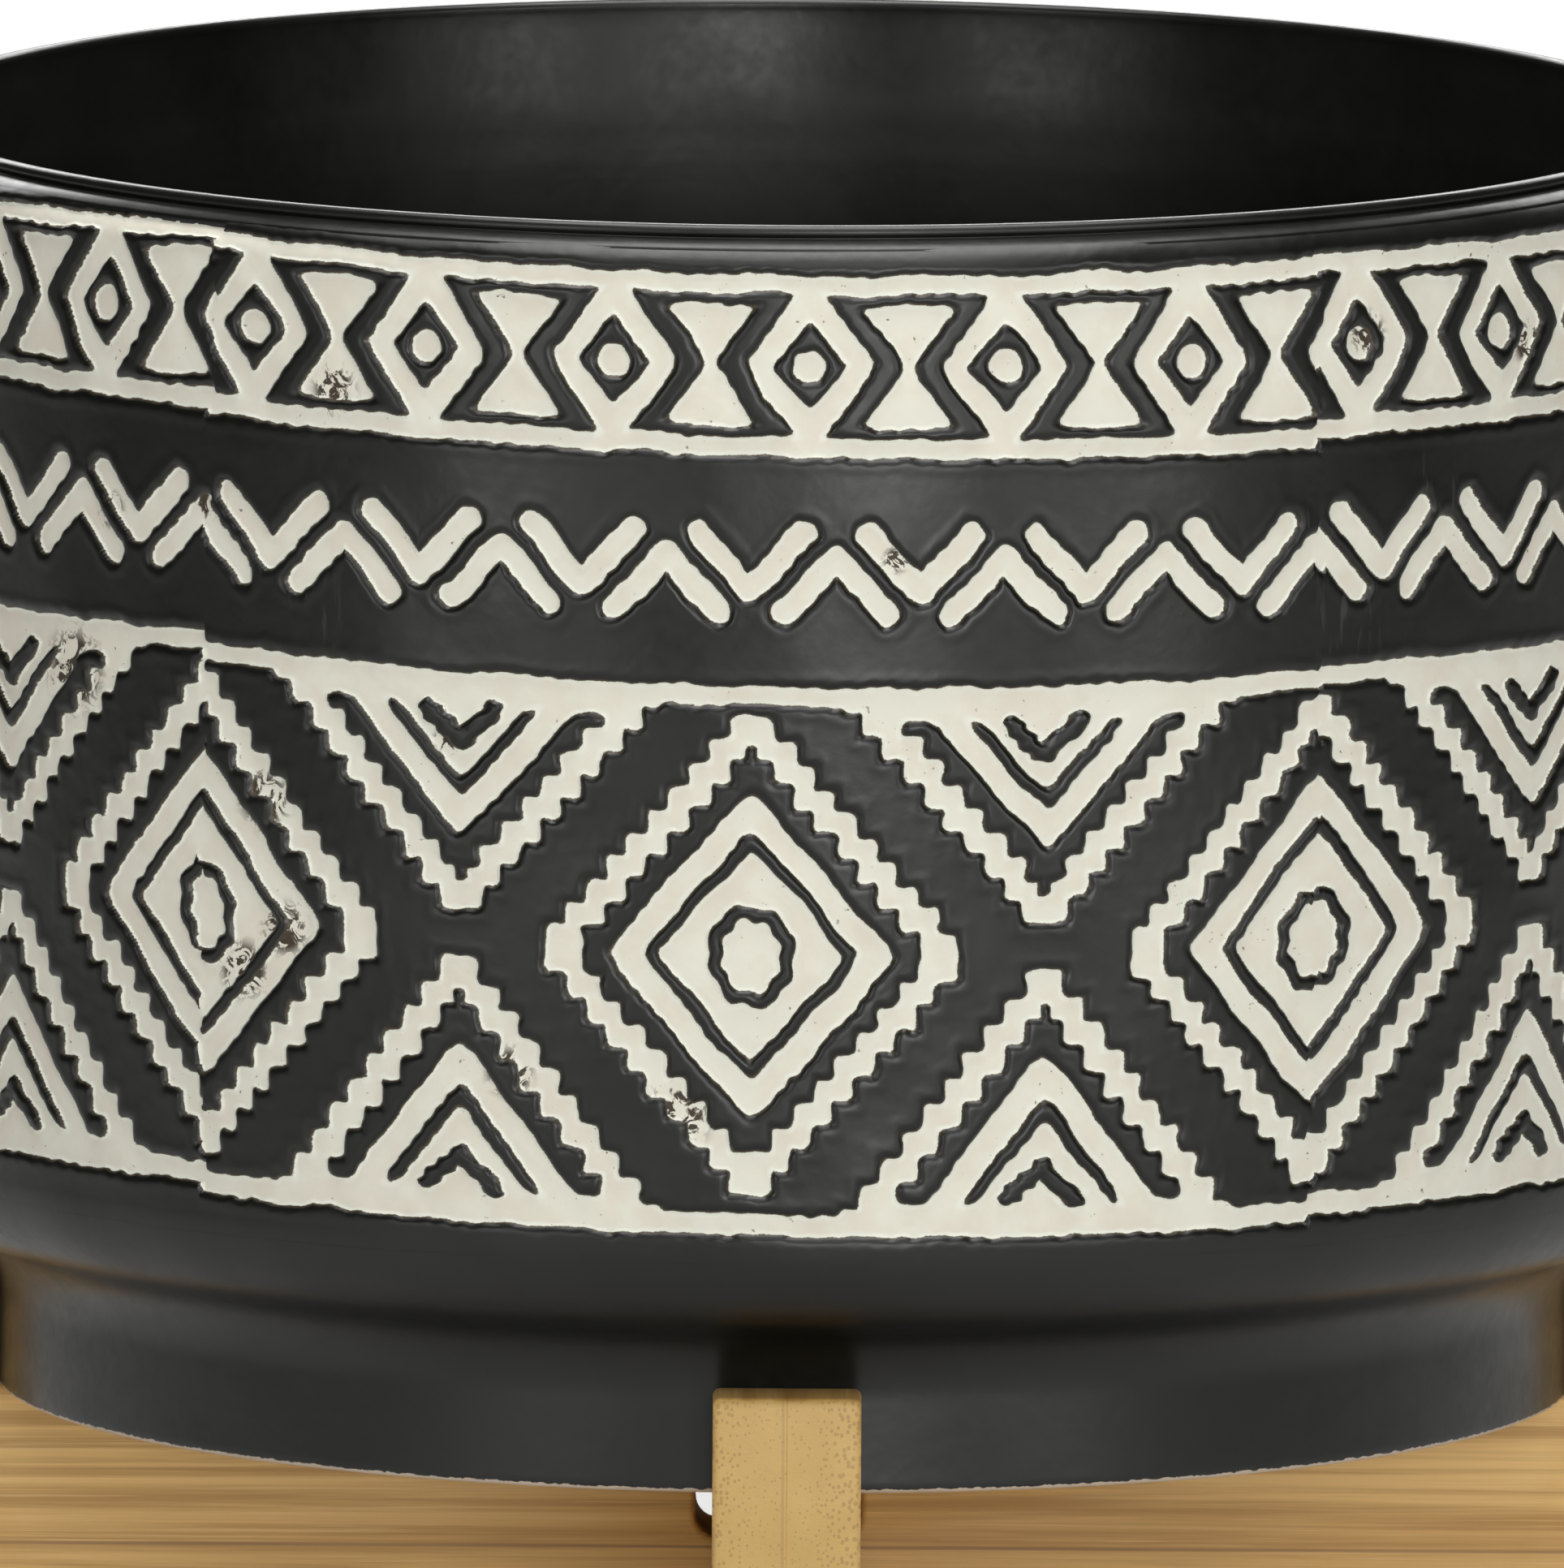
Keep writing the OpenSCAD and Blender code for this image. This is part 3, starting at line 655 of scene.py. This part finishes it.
small = []
AXIS_R, PAD_ROUND = 0.01, 0.3
for node in ("lower_left_pad", "lower_right_pad", "upper_front_pad", "upper_rear_pad"):
    low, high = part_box(node)
    centre = ((low[0] + high[0]) / 2 / MM, (low[1] + high[1]) / 2 / MM)
    r = (high[0] - low[0]) / 2 / MM
    flat_r, round_r = r - PAD_ROUND - 0.1, r - PAD_ROUND
    shape = np.concatenate([
        line(AXIS_R, 0, flat_r, 0, 3), arc(round_r, PAD_ROUND, PAD_ROUND, -90, 0, 4),
        arc(round_r, PAD_T - PAD_ROUND, PAD_ROUND, 0, 90, 4), line(flat_r, PAD_T, AXIS_R, PAD_T, 3)])
    pad = lathe(node.replace("_pad", "_foot"), shape, centre, 64)
    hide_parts(node)
    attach(pad, node.split("_")[0] + "_board")
    small.append(pad)

STEM_R, FLANGE_R, FLANGE_T, KNOB_R = DRAIN_R - 0.08, DRAIN_R + 5.0, 2.5, 4.0
KNOB_TOP_R, KNOB_TOP_Z, NECK_R, STEM_LIFT, STEM_TIP = 2.8, 3.2, 1, 1.5, 0.4


def plug_profile():
    """Points (radius, height) of the stopper: its stem in the drain, its flange on the floor, its knob."""
    low, floor_z = SEAT + STEM_LIFT, SEAT + INSIDE_FLOOR
    top_z, rim = floor_z + FLANGE_T, FLANGE_T / 2
    return np.concatenate([
        line(AXIS_R, low, STEM_R - 1.2, low, 3),
        arc(STEM_R - 1.2, low + STEM_TIP, STEM_TIP, -90, -10, 3),
        line(STEM_R - 0.6, low + 0.9, STEM_R, low + 1.7, 2),
        line(STEM_R, low + 2.1, STEM_R, floor_z - 0.3, 5),
        line(STEM_R + 0.2, floor_z, FLANGE_R - rim, floor_z, 4),
        arc(FLANGE_R - rim, floor_z + rim, rim, -60, 90, 8),
        line(FLANGE_R - 1.6, top_z, KNOB_R + 1.2, top_z, 5),
        arc(KNOB_R + NECK_R, top_z + NECK_R, NECK_R, -90, -180, 5),
        line(KNOB_R - 0.5, top_z + 1.4, KNOB_R - 0.6, top_z + 2.6, 2),
        arc(KNOB_R - KNOB_TOP_R, top_z + KNOB_TOP_Z, KNOB_TOP_R, -8, 90, 9),
        [(AXIS_R, top_z + KNOB_TOP_Z + KNOB_TOP_R)]])


plug = lathe("drain_stopper", plug_profile(), (0, 0), 96)
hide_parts("drain_plug")
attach(plug, "plug")
small.append(plug)


# ---------------------------------------------------------------- materials
class Finish:
    """A procedural material. Where a value is the socket of a node, give() links it."""

    def __init__(self, name):
        self.material = bpy.data.materials.new(name)
        self.material.use_nodes = True
        self.tree = self.material.node_tree
        self.shader = self.tree.nodes["Principled BSDF"]
        self.place = self.node("ShaderNodeTexCoord").outputs["Object"]

    def give(self, socket, value):
        if isinstance(value, bpy.types.NodeSocket):
            self.tree.links.new(value, socket)
        else:
            socket.default_value = value

    def node(self, kind, inputs=None, **settings):
        made = self.tree.nodes.new(kind)
        for key, value in settings.items():
            setattr(made, key, value)
        for key, value in (inputs or {}).items():
            self.give(made.inputs[key], value)
        return made

    def set(self, **values):
        for key, value in values.items():
            self.give(self.shader.inputs[key.replace("_", " ")], value)

    def math(self, kind, a, b=0.0, c=0.0):
        return self.node("ShaderNodeMath", {0: a, 1: b, 2: c}, operation=kind).outputs[0]

    def plus(self, a, b):
        return self.math("ADD", a, b)

    def times(self, a, b):
        return self.math("MULTIPLY", a, b)

    def noise(self, scale, detail=3.0, rough=0.55, at=None, stretch=None, twist=0.0):
        at = at or self.place
        if stretch:
            at = self.node("ShaderNodeMapping", {"Vector": at, "Scale": stretch}).outputs[0]
        inputs = {"Vector": at, "Scale": scale, "Detail": detail, "Roughness": rough, "Distortion": twist}
        return self.node("ShaderNodeTexNoise", inputs).outputs["Fac"]

    def ramp(self, value, low, high, to_low=0.0, to_high=1.0):
        inputs = {"Value": value, "From Min": low, "From Max": high, "To Min": to_low, "To Max": to_high}
        return self.node("ShaderNodeMapRange", inputs, interpolation_type="SMOOTHSTEP").outputs["Result"]

    def mix(self, share, a, b):
        made = self.node("ShaderNodeMix", data_type="RGBA")
        for socket, value in zip((made.inputs[0], made.inputs[6], made.inputs[7]), (share, a, b)):
            self.give(socket, (*value, 1.0) if isinstance(value, tuple) and len(value) == 3 else value)
        return made.outputs[2]

    def attribute(self, name):
        return self.node("ShaderNodeAttribute", attribute_name=name).outputs["Fac"]

    def bump(self, *layers):
        """Bumps from pairs of a height between 0 and 1 and its depth in mm."""
        normal = None
        for height, depth in layers:
            inputs = {"Height": height, "Distance": depth * MM, "Strength": 1.0}
            if normal:
                inputs["Normal"] = normal
            normal = self.node("ShaderNodeBump", inputs).outputs[0]
        self.give(self.shader.inputs["Normal"], normal)


BLACK, BLACK_LIT, DUST = (0.0036, 0.0037, 0.0026), (0.0068, 0.0070, 0.0052), (0.06, 0.058, 0.05)
CREAM, CREAM_EDGE, BEIGE = (0.80, 0.785, 0.665), (0.84, 0.85, 0.74), (0.77, 0.715, 0.60)
BROWN, WORN_BROWN = (0.075, 0.058, 0.035), (0.055, 0.038, 0.022)
BISQUE, BISQUE_DARK = (0.58, 0.47, 0.36), (0.46, 0.36, 0.27)
BAMBOO_DEEP, BAMBOO_PALE, GLUE_SEAM = (0.62, 0.345, 0.092), (0.84, 0.535, 0.175), (0.20, 0.10, 0.035)
STREAK_DARK, STREAK_PALE = (0.45, 0.235, 0.055), (0.86, 0.59, 0.25)
END_PALE, END_DEEP = (0.65, 0.43, 0.145), (0.54, 0.33, 0.095)
FIBRE, PLY_SEAM = (0.27, 0.15, 0.045), (0.30, 0.18, 0.06)
RUBBER_DARK, RUBBER_PALE = (0.035, 0.034, 0.032), (0.055, 0.053, 0.05)


def black_glaze(f):
    """Colour and roughness of the satin black glaze: cloudy, with pale specks here and there."""
    cloud = f.ramp(f.noise(38, 4), 0.35, 0.7)
    colour = f.mix(cloud, BLACK, BLACK_LIT)
    speck = f.ramp(f.noise(900, 2, 0.6), 0.74, 0.80)
    colour = f.mix(f.times(speck, f.ramp(f.noise(60, 3), 0.55, 0.7, 0, 0.5)), colour, DUST)
    broad = f.ramp(f.noise(55, 4), 0.3, 0.7, 0.28, 0.36)
    return colour, f.plus(broad, f.ramp(f.noise(500, 3), 0.3, 0.7, 0, 0.05))


def glaze_and_slip():
    """The relief. A tile's glaze number is the distance in mm to the black, negative in it. Its worn number
    is above nought where the slip is rubbed off, and below it where the glaze is scuffed."""
    f = Finish("glaze_and_slip")
    edge = f.plus(f.attribute("glaze"), f.ramp(f.noise(2600, 2), 0.2, 0.8, -0.05, 0.05))
    glaze, rough = black_glaze(f)
    slip = f.mix(f.ramp(f.noise(140, 4, 0.6), 0.38, 0.68), CREAM, BEIGE)
    slip = f.mix(f.ramp(edge, 0.15, 0.75, 0.85, 0.0), slip, CREAM_EDGE)
    pits = f.times(f.ramp(f.noise(1300, 2, 0.5), 0.69, 0.75), f.ramp(f.noise(95, 2), 0.52, 0.62))
    slip = f.mix(f.times(pits, 0.75), slip, WORN_BROWN)
    rubbed = f.math("MAXIMUM", f.attribute("worn"), 0.0)
    grazed = f.times(rubbed, f.ramp(f.noise(420, 4, 0.65, twist=1.2), 0.46, 0.56))
    slip = f.mix(f.ramp(grazed, 0.08, 0.6), slip, WORN_BROWN)
    scuffed = f.math("MAXIMUM", f.times(f.attribute("worn"), -1.0), 0.0)
    scratch = f.ramp(f.noise(1.0, 3, 0.6, stretch=(900, 900, 120), twist=0.6), 0.56, 0.66, 0.0, 0.55)
    glaze = f.mix(f.times(scratch, scuffed), glaze, DUST)
    brown_edge = f.ramp(edge, -0.34, -0.08)
    glaze = f.mix(f.times(brown_edge, 0.8), glaze, BROWN)
    on_slip = f.ramp(edge, -0.06, 0.06)
    f.set(Base_Color=f.mix(on_slip, glaze, slip), Roughness=f.plus(rough, f.times(on_slip, 0.3)))
    f.bump((f.noise(420, 4), 0.035), (f.noise(90, 3), 0.12))
    return f.material


def black_glaze_body():
    """The body: black glaze, bare clay where the number bare says so, and turning marks inside."""
    f = Finish("black_glaze_body")
    colour, rough = black_glaze(f)
    bare = f.ramp(f.plus(f.attribute("bare"), f.ramp(f.noise(700, 3), 0.3, 0.7, -0.2, 0.2)), 0.4, 0.6)
    clay = f.mix(f.noise(260, 4), BISQUE, BISQUE_DARK)
    rougher = f.plus(f.times(bare, 0.35), f.times(f.attribute("inside"), 0.05))
    f.set(Base_Color=f.mix(bare, colour, clay), Roughness=f.plus(rough, rougher))
    throw = f.times(f.noise(1.0, 2, 0.5, stretch=(2.0, 2.0, 170.0)), f.attribute("inside"))
    f.bump((throw, 0.07), (f.noise(420, 4), 0.03), (f.noise(90, 3), 0.10))
    return f.material


def bamboo(name, along_y):
    """Strip bamboo: streaks along the board, and dots of fibre bundles where it is cut across. Lengths are
    in metres here."""
    strip_h, seam_at = 0.0215, 0.0107
    f = Finish(name)
    place = f.place
    if along_y:
        place = f.node("ShaderNodeMapping", {"Vector": place, "Rotation": (0, 0, -math.pi / 2)}).outputs[0]
    parts = f.node("ShaderNodeSeparateXYZ", {0: place}).outputs
    normal = f.node("ShaderNodeNewGeometry").outputs["Normal"]
    split = f.node("ShaderNodeSeparateXYZ", {0: normal}).outputs
    facing = f.math("ABSOLUTE", split[1 if along_y else 0])
    streak = f.noise(1.0, 4, 0.6, at=place, stretch=(9, 260, 520), twist=0.35)
    fine = f.noise(1.0, 3, 0.6, at=place, stretch=(26, 900, 2100))
    band = f.noise(1.0, 2, 0.5, at=place, stretch=(2.5, 60, 75))
    side = f.mix(f.ramp(band, 0.3, 0.7), BAMBOO_DEEP, BAMBOO_PALE)
    side = f.mix(f.ramp(streak, 0.36, 0.66, 0.0, 0.8), side, STREAK_DARK)
    side = f.mix(f.ramp(fine, 0.55, 0.75, 0.0, 0.5), side, STREAK_PALE)
    in_strip = f.math("WRAP", parts[2], 0.0, strip_h)
    seam = f.ramp(f.math("ABSOLUTE", f.math("SUBTRACT", in_strip, seam_at)), 0.0001, 0.00035, 0.55, 0.0)
    side = f.mix(seam, side, GLUE_SEAM)
    flat = f.node("ShaderNodeMapping", {"Vector": place, "Scale": (0.02, 1.0, 0.8)}).outputs[0]
    bundles = f.node("ShaderNodeTexVoronoi", {"Vector": flat, "Scale": 1450.0, "Randomness": 0.85})
    depth = f.math("ABSOLUTE", parts[1])
    skin = f.ramp(depth, 0.003, 0.010, 0.20, 0.42)
    dots = f.ramp(f.math("SUBTRACT", bundles.outputs["Distance"], skin), -0.08, 0.05, 0.42, 0.0)
    end = f.mix(f.noise(160, 3, at=place), END_PALE, END_DEEP)
    end = f.mix(dots, end, FIBRE)
    end = f.mix(f.ramp(depth, 0.00005, 0.0003, 0.3, 0.0), end, PLY_SEAM)
    across = f.ramp(facing, 0.45, 0.85)
    f.set(Base_Color=f.mix(across, side, end), Roughness=f.ramp(streak, 0.3, 0.7, 0.42, 0.55))
    f.shader.inputs["Coat Weight"].default_value = 0.12
    f.shader.inputs["Coat Roughness"].default_value = 0.35
    f.bump((fine, 0.06), (dots, 0.03))
    return f.material


def dark_rubber():
    """The pads and the stopper: matt, with a fine grain."""
    f = Finish("rubber")
    f.set(Base_Color=f.mix(f.noise(300, 4), RUBBER_DARK, RUBBER_PALE),
          Roughness=f.ramp(f.noise(600, 3), 0.3, 0.7, 0.6, 0.75))
    f.bump((f.noise(900, 4), 0.05))
    return f.material


relief, body, rubber = glaze_and_slip(), black_glaze_body(), dark_rubber()
for piece in RELIEF_TILES:
    piece.data.materials.append(relief)
pot_shell.data.materials.append(body)
bamboo_x, bamboo_y = bamboo("bamboo_lower", False), bamboo("bamboo_upper", True)
for piece, along_y in boards:
    piece.data.materials.append(bamboo_y if along_y else bamboo_x)
for piece in small:
    piece.data.materials.append(rubber)

# ---------------------------------------------------------------- floor, light and camera
# Lengths are in metres from here on.
FLOOR_HALF = 40
floor_corners = [(x * FLOOR_HALF, y * FLOOR_HALF, 0) for x, y in ((-1, -1), (1, -1), (1, 1), (-1, 1))]
floor_mesh = bpy.data.meshes.new("floor")
floor_mesh.from_pydata(floor_corners, [], [(0, 1, 2, 3)])
floor = bpy.data.objects.new("floor", floor_mesh)
bpy.context.scene.collection.objects.link(floor)
pale = Finish("pale_floor")
pale.set(Base_Color=(0.52, 0.52, 0.515, 1.0), Roughness=0.9)
floor_mesh.materials.append(pale.material)

world = bpy.data.worlds.new("studio")
bpy.context.scene.world = world
world.use_nodes = True
studio_wall = world.node_tree.nodes["Background"]
studio_wall.inputs[0].default_value = (1.0, 1.0, 1.0, 1.0)
# Pale below the horizon, past the floor's end, and dim above it
heading = world.node_tree.nodes.new("ShaderNodeTexCoord").outputs["Generated"]
heading_z = world.node_tree.nodes.new("ShaderNodeSeparateXYZ")
world.node_tree.links.new(heading, heading_z.inputs[0])
dim = world.node_tree.nodes.new("ShaderNodeMapRange")
for key, value in (("From Min", 0.0), ("From Max", 0.02), ("To Min", 0.7), ("To Max", 0.03)):
    dim.inputs[key].default_value = value
world.node_tree.links.new(heading_z.outputs[2], dim.inputs["Value"])
world.node_tree.links.new(dim.outputs["Result"], studio_wall.inputs[1])


def soft_light(name, place, target, width, height, power):
    """A white light like a softbox, which the camera doesn't see."""
    data = bpy.data.lights.new(name, "AREA")
    data.shape, data.size, data.size_y = "RECTANGLE", width, height
    data.energy = power
    thing = bpy.data.objects.new(name, data)
    thing.location = place
    thing.rotation_mode = "QUATERNION"
    thing.rotation_quaternion = (Vector(target) - Vector(place)).to_track_quat("-Z", "Y")
    thing.visible_camera = False
    bpy.context.scene.collection.objects.link(thing)


# Three low lights make the three glows on the glaze.
LOW_DISTANCE, LOW_Z, LOW_AIM_Z, LOW_HEIGHT = 2.0, 0.40, 0.28, 0.78
LOW_LIGHTS = (("left", -33, 0.72, 4.8), ("centre", 9, 0.62, 9.4), ("right", 39, 0.58, 5.0))
for name, azimuth, width, power in LOW_LIGHTS:
    a = math.radians(azimuth)
    place = (LOW_DISTANCE * math.sin(a), -LOW_DISTANCE * math.cos(a), LOW_Z)
    soft_light("low_" + name, place, (0, 0, LOW_AIM_Z), width, LOW_HEIGHT, power)
soft_light("high", (0.15, -1.6, 1.7), (0, 0, 0.15), 1.6, 1.0, 9)
soft_light("overhead", (0, -0.1, 1.8), (0, 0, 0.15), 1.3, 1.3, 32)
soft_light("back", (0, 2.4, 1.3), (0, 2.2, 0), 3.0, 1.4, 95)

TARGET = Vector((-0.0007, 0.0, 0.155))
DISTANCE, ELEVATION, ROLL = 9.5, math.radians(7.9), math.radians(0.37)
# The picture's long side takes in SPAN metres at the pot.
SPAN, SENSOR = 0.2088649, 36.0
camera_data = bpy.data.cameras.new("camera")
camera_data.sensor_width = SENSOR
camera_data.lens = SENSOR * DISTANCE / SPAN
camera_data.clip_start, camera_data.clip_end = 0.1, 100.0
camera = bpy.data.objects.new("camera", camera_data)
bpy.context.scene.collection.objects.link(camera)
back = Vector((0, -math.cos(ELEVATION), math.sin(ELEVATION)))
camera.location = TARGET + back * DISTANCE
camera.rotation_mode = "QUATERNION"
camera.rotation_quaternion = (-back).to_track_quat("-Z", "Y") @ Quaternion((0, 0, 1), ROLL)
bpy.context.scene.camera = camera
bpy.context.scene.view_settings.view_transform = "Standard"
